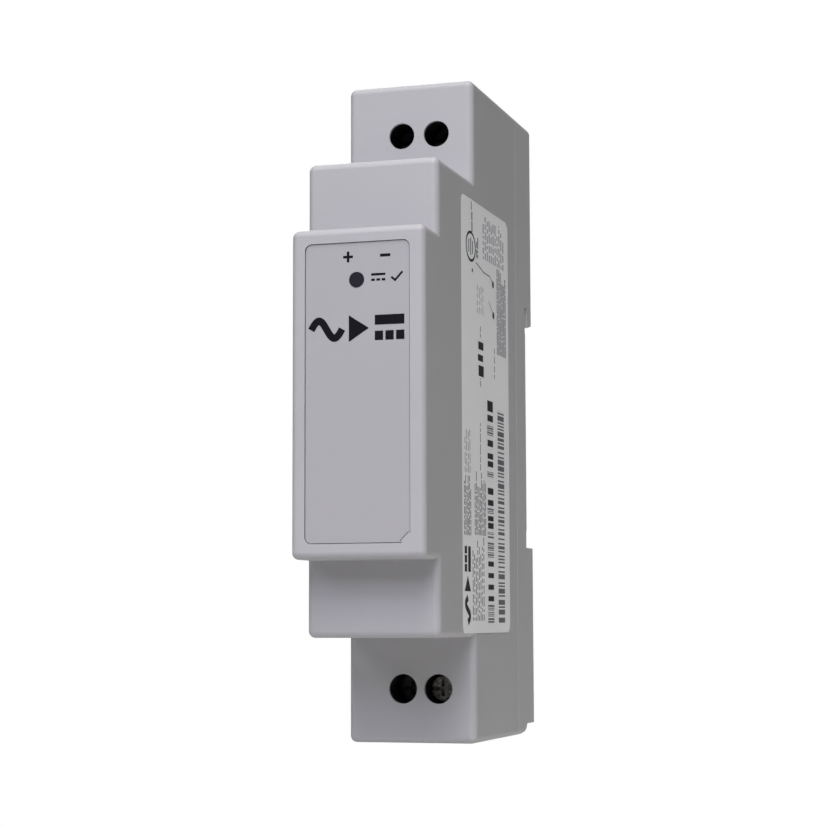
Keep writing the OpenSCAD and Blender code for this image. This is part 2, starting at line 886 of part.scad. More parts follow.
module transformer_bobbin() {
    flange_t_mm = 0.7;
    tube = [core_size[0] + 1.5, core_centre + 1.5];
    reach = core_size[2] / 2 - core_back;
    color("#202326")
        difference() {
            union() {
                at_transformer() {
                    cube([tube[0], tube[1], 2 * reach], center = true);
                    for (s = [-1, 1])
                        translate([0, 0, s * (reach - flange_t_mm / 2)])
                            cube([2 * winding_half[0] + 0.8, 2 * winding_half[1] + 0.2,
                                  flange_t_mm], center = true);
                }
                // Feet that carry the pins, beside the ends of the core
                for (s = [-1, 1])
                    translate([board_face, transformer_at[0],
                               transformer_at[1] + s * (core_size[2] / 2 + 1.2)]) {
                        translate([1.4, 0, 0]) cube([1.8, 13, 2.4], center = true);
                        translate([1.9, 0, -s * 2]) cube([0.8, 9, 4.2], center = true);
                    }
                leads(transformer_leads, 1);
            }
            at_transformer()
                cube([core_size[0] + 0.1, core_centre + 0.1, core_size[2] + 1], center = true);
        }
}

module transformer_winding() {
    tube = [core_size[0] + 1.6, core_centre + 1.6];
    color("#b98a3a")
        at_transformer()
            difference() {
                translate([0, 0, -winding_half[2]])
                    linear_extrude(2 * winding_half[2])
                        round_rect([-winding_half[0], -winding_half[1]],
                                   [winding_half[0], winding_half[1]], 1.2);
                cube([tube[0], tube[1], 20], center = true);
            }
}

// Yellow tape wound round the outside of the core
module transformer_tape() {
    tape_t = 0.15;
    tape_w = 4;
    color("#d8b93c")
        at_transformer()
            difference() {
                cube([tape_w, core_size[1] + 2 * tape_t, core_size[2] + 2 * tape_t],
                     center = true);
                cube([tape_w + 1, core_size[1], core_size[2]], center = true);
            }
}

// A moulded package with two rows of flat legs
module dual_row_package(at, list, length, height = 3.4) {
    body_w = 6.4;
    leg = [0.5, 0.3];
    translate([board_face + 0.5, at[0] - body_w / 2, at[1] - length / 2])
        cube([height, body_w, length]);
    for (p = list) {
        s = sign(p[0] - at[0]);
        box([board_face, board_face + 2.3], [p[0] - leg[1] / 2, p[0] + leg[1] / 2],
            [p[1] - leg[0], p[1] + leg[0]]);
        box([board_face + 2, board_face + 2.3],
            s < 0 ? [p[0], at[0] - body_w / 2 + eps] : [at[0] + body_w / 2 - eps, p[0]],
            [p[1] - leg[0], p[1] + leg[0]]);
    }
}

module switching_controller() {
    color("#242528") dual_row_package(controller_at, controller_leads, 9.6);
}

module optocoupler() {
    color("#e4e2da") dual_row_package(opto_at, opto_leads, 4.6);
}

module bypass_capacitor() {
    color("#3f6fb5") disc_part(bypass_at, bypass_leads, 3.5, 3);
}

// ---------------------------------------------------------------- output side

module output_diode() {
    body_r = 2.6;
    x = board_face + 3.1;
    color("#2b2b2d") {
        rod_z(body_r, [diode_at[1] - 4.6, diode_at[1] + 4.6], [x, diode_at[0]]);
        rod_z(0.5, [diode_leads[0][1] - 0.5, diode_leads[1][1] + 0.5], [x, diode_at[0]]);
        for (at = diode_leads) rod_x(0.5, [board_face, x], at);
    }
}

module output_capacitor_front() {
    color("#1f2a44") can_capacitor(out_cap_r, out_cap_y[0], out_cap_z[0]);
}

module output_capacitor_rear() {
    color("#1f2a44") can_capacitor(out_cap_r, out_cap_y[1], out_cap_z[1]);
}

module output_inductor() {
    drum = [4.2, 9, 1.1];
    color("#34373b") {
        for (x = [board_face + 0.4, board_face + 0.4 + drum[1] - drum[2]])
            rod_x(drum[0], [x, x + drum[2]], inductor_at);
        rod_x(drum[0] - 0.7, [board_face + 1, board_face + drum[1]], inductor_at);
        leads(inductor_leads, 0.6);
    }
}

module resistors() {
    body_r = 1.05;
    x = board_face + body_r + 0.2;
    color("#c8b08a")
        for (at = resistor_at) {
            rod_z(body_r, [at[1] - 2.9, at[1] + 2.9], [x, at[0]]);
            rod_z(0.3, [at[1] - 4, at[1] + 4], [x, at[0]]);
            for (s = [-1, 1]) rod_x(0.3, [board_face, x + 0.3], [at[0], at[1] + s * 3.9]);
        }
}

// ---------------------------------------------------------------- assembly

front_shell();
rear_base();
rail_latch();
latch_spring();
front_label();
side_label();
status_window();
light_pipe();
status_led();
circuit_board();
insulation_sheet();
solder_joints();
chip_parts();
output_terminal_block();
input_terminal_block();
output_contacts();
input_contacts();
plus_screw();
minus_screw();
line_screw();
neutral_screw();
plus_clamp_plate();
minus_clamp_plate();
line_clamp_plate();
neutral_clamp_plate();
fuse();
inrush_thermistor();
varistor();
line_filter_capacitor();
filter_choke_core();
filter_choke_windings();
bridge_rectifier();
bulk_capacitor_low();
bulk_capacitor_high();
transformer_core();
transformer_bobbin();
transformer_winding();
transformer_tape();
switching_controller();
bypass_capacitor();
optocoupler();
output_diode();
output_capacitor_front();
output_capacitor_rear();
output_inductor();
resistors();
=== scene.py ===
import json
import math
import random

import bpy
import bmesh
from mathutils import Matrix, Vector


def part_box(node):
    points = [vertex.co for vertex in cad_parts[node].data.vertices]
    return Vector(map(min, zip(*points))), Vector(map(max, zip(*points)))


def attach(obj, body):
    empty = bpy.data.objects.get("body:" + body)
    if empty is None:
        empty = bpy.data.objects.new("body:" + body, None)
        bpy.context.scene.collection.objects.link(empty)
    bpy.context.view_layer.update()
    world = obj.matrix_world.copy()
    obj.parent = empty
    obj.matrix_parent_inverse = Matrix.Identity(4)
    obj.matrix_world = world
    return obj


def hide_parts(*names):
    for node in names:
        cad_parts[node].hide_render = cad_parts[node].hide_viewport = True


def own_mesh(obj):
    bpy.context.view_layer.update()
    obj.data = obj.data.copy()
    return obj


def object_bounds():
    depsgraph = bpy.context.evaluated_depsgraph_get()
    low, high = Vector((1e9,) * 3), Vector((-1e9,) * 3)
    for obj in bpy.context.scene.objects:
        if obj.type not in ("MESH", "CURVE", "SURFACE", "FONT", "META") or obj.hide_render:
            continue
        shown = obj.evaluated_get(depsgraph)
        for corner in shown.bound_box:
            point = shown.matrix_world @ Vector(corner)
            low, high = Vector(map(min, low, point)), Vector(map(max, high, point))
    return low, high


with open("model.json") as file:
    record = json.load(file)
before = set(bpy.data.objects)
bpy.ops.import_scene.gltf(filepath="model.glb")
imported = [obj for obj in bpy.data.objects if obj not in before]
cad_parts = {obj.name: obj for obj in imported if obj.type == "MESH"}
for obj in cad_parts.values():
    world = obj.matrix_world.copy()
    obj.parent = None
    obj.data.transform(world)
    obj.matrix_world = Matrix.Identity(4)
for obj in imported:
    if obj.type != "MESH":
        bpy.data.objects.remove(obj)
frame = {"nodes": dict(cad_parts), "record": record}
cad_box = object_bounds()
nodes = frame["nodes"]
scene = bpy.context.scene
MM = 0.001

# Every colour below is linear
WHITE = (1.0, 1.0, 1.0)

# Unevenness that all the surfaces share
GLOSS_SPREAD = 0.06
SPECK_SHARE = 0.35
# Edges are made lighter by this factor: partly wear, partly a painted highlight along the
# roundings
EDGE_MASK_RADIUS = 0.25 * MM
WEAR_AND_HIGHLIGHT_SHADE = 1.35
WEAR_GLOSS = 0.12


# ------------------------------------------------------------------ node helpers

class Graph:
    """A material's node tree, with short calls to add and link nodes."""

    def __init__(self, material):
        material.use_nodes = True
        self.tree = material.node_tree
        self.tree.nodes.clear()

    def add(self, kind, values=None, **settings):
        node = self.tree.nodes.new(kind)
        for key, value in settings.items():
            setattr(node, key, value)
        for key, value in (values or {}).items():
            if hasattr(value, "links"):
                self.tree.links.new(value, node.inputs[key])
            else:
                node.inputs[key].default_value = value
        return node

    def math(self, operation, a, b):
        return self.add("ShaderNodeMath", {0: a, 1: b}, operation=operation).outputs[0]

    def mix(self, factor, a, b):
        node = self.add("ShaderNodeMix", data_type="RGBA")
        for key, value in ((0, factor), (6, a), (7, b)):
            if hasattr(value, "links"):
                self.tree.links.new(value, node.inputs[key])
            else:
                colour = isinstance(value, tuple)
                node.inputs[key].default_value = (*value, 1.0) if colour else value
        return node.outputs[2]

    def noise(self, where, scale, detail=2.0, rough=0.5):
        return self.add("ShaderNodeTexNoise",
                        {"Vector": where, "Scale": scale, "Detail": detail,
                         "Roughness": rough}).outputs["Fac"]

    def range(self, value, low, high, to_low, to_high):
        return self.add("ShaderNodeMapRange",
                        {"Value": value, "From Min": low, "From Max": high,
                         "To Min": to_low, "To Max": to_high}).outputs["Result"]


def place_mm(g, stretch):
    """The point in the piece's own frame, in millimetres, stretched along its axes."""
    at = g.add("ShaderNodeTexCoord").outputs["Object"]
    return g.add("ShaderNodeMapping",
                 {"Vector": at, "Scale": tuple(1000.0 * s for s in stretch)}).outputs[0]


def shade(colour, factor):
    return tuple(min(1.0, c * factor) for c in colour)


def surface(name, colour, rough=0.5, metal=0.0, vary=0.04, blotch=0.12, grain=6.0,
            bump=0.006, stretch=(1, 1, 1), edge=0.0, **sockets):
    """A material with uneven colour and gloss, a fine grain, and edges made lighter: partly
    wear, partly a painted highlight.

    blotch and grain are patterns per millimetre, and bump is the grain's height in
    millimetres. edge is how strongly the edges are made lighter, as wear and painted
    highlight. sockets go straight onto the shader.
    """
    material = bpy.data.materials.new(name)
    g = Graph(material)
    at = place_mm(g, stretch)
    wide = g.noise(at, blotch, 3.0, 0.55)
    fine = g.noise(at, grain, 2.0, 0.6)
    tone = g.range(wide, 0.3, 0.7, 0.0, 1.0)
    base = g.mix(tone, shade(colour, 1 - vary), shade(colour, 1 + vary))
    speck = g.range(fine, 0.35, 0.65, 0.0, 1.0)
    speck = g.math("MULTIPLY", speck, SPECK_SHARE)
    base = g.mix(speck, base, shade(colour, 1 - 1.5 * vary))
    roughness = g.math("ADD", rough - GLOSS_SPREAD / 2,
                       g.math("MULTIPLY", tone, GLOSS_SPREAD))
    if edge > 0.0:
        # Lighter where the real normal and the rounded one part: partly wear, partly a
        # painted highlight along the edges
        normal = g.add("ShaderNodeNewGeometry").outputs["Normal"]
        round_normal = g.add("ShaderNodeBevel", {"Radius": EDGE_MASK_RADIUS}, samples=4).outputs[0]
        flat = g.add("ShaderNodeVectorMath", {0: normal, 1: round_normal},
                     operation="DOT_PRODUCT").outputs["Value"]
        worn_and_highlit = g.range(flat, 0.995, 0.8, 0.0, edge)
        broken = g.range(g.noise(at, 1.3, 4.0, 0.65), 0.38, 0.62, 0.25, 1.0)
        worn_and_highlit = g.math("MULTIPLY", worn_and_highlit, broken)
        base = g.mix(worn_and_highlit, base, shade(colour, WEAR_AND_HIGHLIGHT_SHADE))
        roughness = g.math("SUBTRACT", roughness, g.math("MULTIPLY", worn_and_highlit, WEAR_GLOSS))
    lump = g.add("ShaderNodeBump", {"Strength": 1.0, "Distance": bump * MM, "Height": fine})
    shader = g.add("ShaderNodeBsdfPrincipled",
                   {"Base Color": base, "Roughness": roughness, "Metallic": metal,
                    "Normal": lump.outputs[0]})
    for key, value in sockets.items():
        shader.inputs[key.replace("_", " ")].default_value = value
    g.add("ShaderNodeOutputMaterial", {"Surface": shader.outputs[0]})
    return material


# ------------------------------------------------------------------ materials of the nodes

PLASTIC = (0.445, 0.442, 0.452)

MATERIALS = {
    "case_plastic": surface("case_plastic", PLASTIC, 0.48, vary=0.018, blotch=0.05,
                            grain=5.0, bump=0.006, edge=0.15),
    "base_plastic": surface("base_plastic", shade(PLASTIC, 1.03), 0.5, vary=0.018,
                            blotch=0.05, grain=5.0, bump=0.004, edge=0.15),
    "latch_plastic": surface("latch_plastic", shade(PLASTIC, 0.9), 0.42, vary=0.02,
                             blotch=0.1, grain=7.0, bump=0.003, edge=0.4),
    "front_film": surface("front_film", shade(PLASTIC, 0.915), 0.42, vary=0.006, blotch=0.06,
                          grain=9.0, bump=0.002),
    "side_film": surface("side_film", (0.92, 0.925, 0.94), 0.36, vary=0.012, blotch=0.08,
                         grain=9.0, bump=0.002),
    "smoked_window": surface("smoked_window", (0.016, 0.015, 0.021), 0.3, vary=0.1,
                             grain=4.0, bump=0.004, Specular_IOR_Level=0.25),
    "clear_plastic": surface("clear_plastic", (0.86, 0.9, 0.92), 0.08, vary=0.02,
                             bump=0.001, Transmission_Weight=0.85, IOR=1.49),
    "led_epoxy": surface("led_epoxy", (0.3, 0.62, 0.33), 0.14, vary=0.05, bump=0.001,
                         Transmission_Weight=0.5),
    "board_laminate": surface("board_laminate", (0.02, 0.13, 0.055), 0.33, vary=0.12,
                              blotch=0.25, grain=2.4, bump=0.004),
    "insulation_film": surface("insulation_film", (0.72, 0.68, 0.52), 0.35, vary=0.05,
                               bump=0.002),
    "solder": surface("solder", (0.72, 0.73, 0.75), 0.28, 1.0, vary=0.08, blotch=1.2,
                      grain=8.0, bump=0.006),
    "black_moulding": surface("black_moulding", (0.022, 0.022, 0.024), 0.55, vary=0.2,
                              blotch=0.6, grain=9.0, bump=0.006),
    "terminal_plastic": surface("terminal_plastic", (0.02, 0.024, 0.022), 0.5, vary=0.1,
                                blotch=0.3, grain=6.0, bump=0.005),
    "contact_metal": surface("contact_metal", (0.74, 0.6, 0.34), 0.32, 1.0, vary=0.08,
                             blotch=0.5, grain=7.0, bump=0.003),
    # Screw steel kept near black: partly a dark finish, partly painted shade for the heads
    # that sit deep in their holes
    "screw_steel": surface("screw_steel", (0.035, 0.034, 0.032), 0.42, 0.6, vary=0.2,
                           blotch=0.8, grain=7.0, bump=0.006, stretch=(1, 1, 2.5)),
    "plate_steel": surface("plate_steel", (0.62, 0.62, 0.61), 0.36, 1.0, vary=0.08,
                           blotch=0.5, grain=6.0, bump=0.004),
    "spring_steel": surface("spring_steel", (0.55, 0.55, 0.56), 0.25, 1.0, vary=0.06,
                            grain=10.0, bump=0.002),
    "fuse_plastic": surface("fuse_plastic", (0.07, 0.04, 0.028), 0.36, vary=0.12,
                            bump=0.004),
    "thermistor_coat": surface("thermistor_coat", (0.03, 0.045, 0.035), 0.5, vary=0.16,
                               blotch=0.5, grain=2.0, bump=0.02),
    "varistor_coat": surface("varistor_coat", (0.035, 0.1, 0.32), 0.28, vary=0.12,
                             blotch=0.5, grain=2.0, bump=0.016),
    "filter_box": surface("filter_box", (0.7, 0.52, 0.06), 0.34, vary=0.06, bump=0.004),
    "ferrite": surface("ferrite", (0.045, 0.046, 0.05), 0.5, vary=0.18, blotch=0.8,
                       grain=7.0, bump=0.008),
    "copper_wire": surface("copper_wire", (0.55, 0.2, 0.07), 0.25, 0.9, vary=0.1,
                           blotch=1.0, grain=3.0, bump=0.02),
    "capacitor_sleeve": surface("capacitor_sleeve", (0.018, 0.02, 0.03), 0.28, vary=0.12,
                                bump=0.004),
    "winding_tape": surface("winding_tape", (0.5, 0.26, 0.05), 0.3, vary=0.08, bump=0.01,
                            stretch=(1, 1, 3)),
    "yellow_tape": surface("yellow_tape", (0.7, 0.5, 0.05), 0.28, vary=0.06, bump=0.006),
    "bypass_coat": surface("bypass_coat", (0.05, 0.15, 0.46), 0.3, vary=0.12, grain=2.0,
                           bump=0.016),
    "white_moulding": surface("white_moulding", (0.7, 0.68, 0.62), 0.5, vary=0.05,
                              bump=0.005),
    "blue_sleeve": surface("blue_sleeve", (0.02, 0.04, 0.14), 0.28, vary=0.12, bump=0.004),
    "resistor_coat": surface("resistor_coat", (0.46, 0.34, 0.19), 0.4, vary=0.08,
                             grain=3.0, bump=0.01),
}

for row in frame["record"]["subparts"]:
    mesh = nodes[row["node"]].data
    mesh.materials.clear()
    mesh.materials.append(MATERIALS[row["material_slot"]])

# The screw that is backed out sits nearer the light: its head gets a lighter copy of the
# screw steel with painted highlight spots
lit_screw_steel = surface("lit_screw_steel", (0.16, 0.155, 0.145), 0.33, 1.0, vary=0.75, blotch=1.7,
                     grain=5.0, bump=0.02)
nodes["neutral_screw"].data.materials[0] = lit_screw_steel


# ------------------------------------------------------------------ latch spring

COIL_RADIUS = 0.98
WIRE_RADIUS = 0.16
COIL_TURNS = 7.4


def coil(name, centre_y, low, high, mean_radius, wire_radius, turns):
    """A compression spring along Z at X = 0, with closed ends, in millimetres."""
    per_turn, sides, closed_turns = 28, 12, 0.9
    count = round(per_turn * turns)
    wire = 2 * wire_radius
    open_pitch = (high - low - wire - 2 * closed_turns * wire) / (turns - 2 * closed_turns)
    bm = bmesh.new()
    rings = []
    for i in range(count + 1):
        turn = turns * i / count
        lower = min(turn, closed_turns)
        upper = max(0.0, turn - (turns - closed_turns))
        z = low + wire_radius + (lower + upper) * wire + (turn - lower - upper) * open_pitch
        a = 2 * math.pi * turn
        ring = []
        for k in range(sides):
            b = 2 * math.pi * k / sides
            r = mean_radius + wire_radius * math.cos(b)
            ring.append(bm.verts.new((r * math.cos(a) * MM,
                                      (centre_y + r * math.sin(a)) * MM,
                                      (z + wire_radius * math.sin(b)) * MM)))
        rings.append(ring)
    for one, two in zip(rings, rings[1:]):
        for k in range(sides):
            n = (k + 1) % sides
            bm.faces.new((one[k], one[n], two[n], two[k]))
    bm.faces.new(rings[0])
    bm.faces.new(reversed(rings[-1]))
    bmesh.ops.recalc_face_normals(bm, faces=bm.faces)
    for face in bm.faces:
        face.smooth = len(face.verts) == 4
    mesh = bpy.data.meshes.new(name)
    bm.to_mesh(mesh)
    bm.free()
    made = bpy.data.objects.new(name, mesh)
    scene.collection.objects.link(made)
    return made


# A wound coil in the CAD spring's place, over its span, fixed to the case
spring_low, spring_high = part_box("latch_spring")
spring = coil("latch_spring_coil", (spring_low.y + spring_high.y) / 2 / MM,
              spring_low.z / MM, spring_high.z / MM, COIL_RADIUS, WIRE_RADIUS, COIL_TURNS)
spring.data.materials.append(MATERIALS["spring_steel"])
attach(spring, "case")
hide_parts("latch_spring")
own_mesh(spring)


# ------------------------------------------------------------------ print on the labels

INK = surface("ink", (0.0062, 0.0058, 0.0085), 0.55, vary=0.12, blotch=0.5, grain=8.0,
              bump=0.003, Specular_IOR_Level=0.1)
SIDE_INK = surface("side_ink", (0.026, 0.025, 0.03), 0.55, vary=0.2, blotch=0.8, grain=8.0,
                   bump=0.003, Specular_IOR_Level=0.15)
GREY_INK = surface("grey_ink", (0.13, 0.125, 0.135), 0.55, vary=0.15, blotch=0.6,
                   grain=8.0, bump=0.003)
PALE_INK = surface("pale_ink", (0.42, 0.41, 0.43), 0.55, vary=0.1, blotch=0.6,
                   grain=8.0, bump=0.003)


class Print:
    """Thin closed plates of ink on a label. to_world puts a flat point and a height above
    the label, in metres, into the frame."""

    def __init__(self, name, to_world, thickness):
        self.name = name
        self.to_world = to_world
        self.t = thickness
        self.bm = bmesh.new()

    def strip(self, left, right, closed=False):
        """A plate between two rows of points, as wide as they are apart."""
        rows = [[self.bm.verts.new(self.to_world(u, v, h)) for u, v in side]
                for h in (0.0, self.t) for side in (left, right)]
        low_l, low_r, top_l, top_r = rows
        n = len(left)
        for i in range(n if closed else n - 1):
            j = (i + 1) % n
            for quad in ((top_l[i], top_l[j], top_r[j], top_r[i]),
                         (low_l[i], low_r[i], low_r[j], low_l[j]),
                         (low_l[i], low_l[j], top_l[j], top_l[i]),
                         (low_r[i], top_r[i], top_r[j], low_r[j])):
                self.bm.faces.new(quad)
        if not closed:
            self.bm.faces.new((low_l[0], top_l[0], top_r[0], low_r[0]))
            self.bm.faces.new((low_l[-1], low_r[-1], top_r[-1], top_l[-1]))

    def box(self, u0, u1, v0, v1):
        self.strip([(u0, v0), (u1, v0)], [(u0, v1), (u1, v1)])

    def stroke(self, points, width, closed=False):
        """A line of even width through the points, with mitred corners."""
        n = len(points)
        left, right = [], []
        for i, (x, y) in enumerate(points):
            before = points[(i - 1) % n] if closed or i else None
            after = points[(i + 1) % n] if closed or i < n - 1 else None
            ways = []
            for a, b in ((before, (x, y)), ((x, y), after)):
                if a and b:
                    d = math.hypot(b[0] - a[0], b[1] - a[1])
                    ways.append(((b[0] - a[0]) / d, (b[1] - a[1]) / d))
            tx = sum(w[0] for w in ways)
            ty = sum(w[1] for w in ways)
            d = math.hypot(tx, ty)
            nx, ny = -ty / d, tx / d
            cosine = max(0.4, abs(nx * -ways[0][1] + ny * ways[0][0]))
            k = width / 2 / cosine
            left.append((x + nx * k, y + ny * k))
            right.append((x - nx * k, y - ny * k))
        self.strip(left, right, closed)

    def ring(self, cx, cy, rx, ry, width, steps=32):
        points = [(cx + rx * math.cos(math.radians(360 * i / steps)),
                   cy + ry * math.sin(math.radians(360 * i / steps)))
                  for i in range(steps)]
        self.stroke(points, width, closed=True)

    def disc(self, cx, cy, r, steps=24):
        half = [(r * math.cos(math.pi * i / steps), r * math.sin(math.pi * i / steps))
                for i in range(1, steps)]
        self.strip([(cx + a, cy + b) for a, b in half], [(cx + a, cy - b) for a, b in half])

    def finish(self, material):
        bmesh.ops.recalc_face_normals(self.bm, faces=self.bm.faces)
        mesh = bpy.data.meshes.new(self.name)
        self.bm.to_mesh(mesh)
        self.bm.free()
        mesh.materials.append(material)
        piece = bpy.data.objects.new(self.name, mesh)
        scene.collection.objects.link(piece)
        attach(piece, "case")


WAVE_STEPS = 24
label_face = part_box("front_label")[0].y


def on_front(u, v, h):
    """(u, v) is sideways and up, in millimetres from the frame's origin."""
    return Vector((u * MM, label_face - h, v * MM))


window_low, window_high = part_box("status_window")
window_x = (window_low.x + window_high.x) / 2 / MM
window_z = (window_low.z + window_high.z) / 2 / MM
plus_x = sum(c.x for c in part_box("plus_screw")) / 2 / MM
minus_x = sum(c.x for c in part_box("minus_screw")) / 2 / MM

marks = Print("front_marks", on_front, 0.012 * MM)

# Over the window: a plus and a minus, each under its screw
sign_z = window_z + 3.0
plus_wide, plus_high, plus_half = 0.66, 0.7, 0.17
minus_wide, minus_half = 0.7, 0.19
marks.box(plus_x - plus_wide, plus_x + plus_wide, sign_z - plus_half, sign_z + plus_half)
marks.box(plus_x - plus_half, plus_x + plus_half, sign_z + plus_half, sign_z + plus_high)
marks.box(plus_x - plus_half, plus_x + plus_half, sign_z - plus_high, sign_z - plus_half)
marks.box(minus_x - minus_wide, minus_x + minus_wide, sign_z - minus_half,
          sign_z + minus_half)

# Beside the window: the direct-current sign and a tick
small_x = window_x + 1.97
small_low = window_z - 0.45
small_high = small_low + 1.25
small_bar, small_dash, small_pitch = 1.9, 0.5, 0.7
tick_width = 0.27
marks.box(small_x, small_x + small_bar, small_high - 0.38, small_high - 0.08)
for i in range(3):
    left = small_x + small_pitch * i
    marks.box(left, left + small_dash, small_low + 0.18, small_low + 0.48)
marks.stroke([(small_x + 2.7, small_low + 0.6), (small_x + 3.2, small_low + 0.16),
              (small_x + 4.2, small_high - 0.02)], tick_width)

# The converter sign: a wave, a wedge, and a bar over three dashes
sign_low, sign_high = 6.4, 9.85
middle = (sign_low + sign_high) / 2
wave_left, wave_long, wave_high, wave_width = -6.25, 4.2, 1.15, 0.95
wedge_left, wedge_right, wedge_tip = -1.15, 1.5, 0.04
bar_left, bar_right = 2.35, 6.3
dash_right, dash_pitch = 3.46, 1.42
marks.stroke([(wave_left + wave_long * i / WAVE_STEPS,
               middle + wave_high * math.sin(2 * math.pi * i / WAVE_STEPS))
              for i in range(WAVE_STEPS + 1)], wave_width)
marks.strip([(wedge_left, sign_low), (wedge_right, middle - wedge_tip)],
            [(wedge_left, sign_high), (wedge_right, middle + wedge_tip)])
marks.box(bar_left, bar_right, middle + 0.35, sign_high - 0.1)
for i in range(3):
    marks.box(bar_left + dash_pitch * i, dash_right + dash_pitch * i, sign_low + 0.1,
              middle - 0.42)
marks.finish(INK)

# ------------------------------------------------------------------ side label print

side_low, side_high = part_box("side_label")
side_face = side_high.x
PRINT_Y = side_low.y / MM - 0.3
PRINT_Z = side_low.z / MM + 0.7


def on_side(u, v, h):
    """(u, v) is rearwards and up, in millimetres from the print's lower front corner."""
    return Vector((side_face + h, (PRINT_Y + u) * MM, (PRINT_Z + v) * MM))


dark = Print("side_marks_dark", on_side, 0.010 * MM)
grey = Print("side_marks_grey", on_side, 0.008 * MM)
pale = Print("side_marks_pale", on_side, 0.006 * MM)
rng = random.Random(7)


def words(ink, u0, u1, v0, v1, pitch, height, gap=0.35, long=1.6):
    """Lines of made-up words that run along the label's height."""
    u = u0
    while u + height <= u1:
        v = v0
        end = v1 - rng.uniform(0, 0.3) * (v1 - v0)
        while v < end:
            size = rng.uniform(0.35, long)
            ink.box(u, u + height, v, min(v + size, v1))
            v += size + gap
        u += pitch


def bars(ink, u0, u1, v0, v1, thin, thick, seed):
    """A bar code of no meaning: bars across the label, one above the other."""
    local = random.Random(seed)
    v = v0
    while v < v1:
        size = local.choice([thin, thin, thin * 2, thick])
        ink.box(u0, u1, v, min(v + size, v1))
        v += size + local.choice([thin, thin, thin * 2])


# Two bar codes of no meaning along the rear half
for v, size in ((30.8, 1.5), (29.1, 0.9), (25.6, 0.9), (23.8, 0.8), (22.7, 0.8), (18.9, 0.9),
                (17.3, 0.8), (15.1, 0.7), (14.1, 0.8), (8.8, 0.7), (7.2, 0.7), (5.6, 0.7),
                (4.0, 0.7)):
    dark.box(13.1, 16.0, v - size / 2, v + size / 2)
for v0, v1 in ((26.7, 28.3), (20.9, 21.6), (15.8, 16.6), (12.4, 13.2), (9.7, 11.8),
               (0.7, 3.2)):
    bars(grey, 12.9, 16.1, v0, v1, 0.12, 0.26, int(v0 * 10))
bars(grey, 18.5, 21.9, 0.7, 30.6, 0.22, 0.7, 11)

# The same converter sign, turned, low on the front edge
dark.stroke([(2.75 + math.sin(2 * math.pi * i / WAVE_STEPS), 0.75 + 3.3 * i / WAVE_STEPS)
             for i in range(WAVE_STEPS + 1)], 0.9)
dark.strip([(1.25, 4.9), (2.7, 6.9)], [(4.2, 4.9), (2.8, 6.9)])
dark.box(3.0, 4.2, 7.5, 10.9)
for i in range(3):
    dark.box(1.3, 2.4, 7.5 + 1.2 * i, 8.5 + 1.2 * i)

# Small print
words(grey, 1.2, 4.6, 12.4, 20.4, 0.6, 0.3, 0.2)
words(grey, 1.6, 4.2, 20.8, 26.8, 0.8, 0.2)
words(grey, 4.4, 4.6, 20.8, 32.2, 0.6, 0.2)
words(grey, 5.2, 11.6, 1.0, 12.4, 0.78, 0.3)
words(grey, 6.4, 12.0, 12.6, 21.2, 0.66, 0.3, 0.2)
words(grey, 9.3, 9.7, 21.5, 31.0, 0.6, 0.26, 0.2)

# Shapes of no meaning where approval marks are usual
dark.ring(5.05, 51.9, 2.3, 1.95, 0.36)
grey.box(3.9, 4.3, 51.0, 52.8)
grey.box(4.85, 5.25, 50.7, 53.1)
grey.box(5.8, 6.2, 51.0, 52.8)
dark.disc(5.8, 48.7, 0.28)
words(dark, 5.5, 6.3, 54.0, 56.8, 0.6, 0.42, 0.15)
words(grey, 5.3, 5.7, 57.0, 58.2, 0.6, 0.32, 0.15)
words(grey, 7.75, 9.4, 50.8, 53.8, 0.62, 0.42, 0.2)
dark.box(8.6, 11.2, 38.2, 39.3)
dark.box(8.4, 11.0, 36.6, 37.5)
dark.box(8.7, 11.3, 34.5, 36.0)
words(grey, 9.6, 10.2, 39.9, 42.0, 0.6, 0.3, 0.2, 0.8)
words(grey, 9.5, 10.1, 33.1, 34.2, 0.6, 0.3, 0.2, 0.8)
dark.disc(16.5, 48.3, 0.5)
dark.disc(16.6, 43.9, 0.5)
grey.stroke([(7.6, 50.1), (11.6, 49.3), (14.9, 49.2), (16.3, 48.5)], 0.18)
grey.stroke([(14.2, 45.6), (16.3, 44.2)], 0.16)
words(pale, 8.1, 11.8, 43.2, 47.1, 0.95, 0.34)
words(pale, 11.2, 22.6, 51.2, 57.3, 1.05, 0.62)
words(grey, 16.9, 17.5, 35.0, 40.6, 0.8, 0.26)
words(pale, 18.4, 24.0, 38.6, 50.9, 0.85, 0.74, 0.12, 2.8)
dark.finish(SIDE_INK)
grey.finish(GREY_INK)
pale.finish(PALE_INK)

# ------------------------------------------------------------------ floor, light, camera

FLOOR_Z = cad_box[0].z - 0.030
FLOOR_RADIUS = 6.0
# Distances from the middle of the floor at which its tones turn into each other
PALE_FROM, PALE_TO = 0.09, 0.17
DARK_FROM, DARK_TO = 0.55, 0.3
RIGHT_FROM, RIGHT_TO = 0.4, 0.08
RIGHT_OFFSET = 0.12
# What the camera sees of it, and what it sends back to the object: the light sent back is
# painted, brighter near the object and brightest to its right as painted fill light, and dark
# far off
SEEN_LOW, SEEN_HIGH = (0.73, 0.73, 0.73), (0.77, 0.77, 0.77)
FLOOR_TONE = (0.49, 0.49, 0.485)
FLOOR_PAINTED_FILL = (1.0, 1.0, 0.95)
FLOOR_FAR = (0.06, 0.06, 0.06)
WORLD_LIGHT = (0.108, 0.11, 0.103, 1.0)

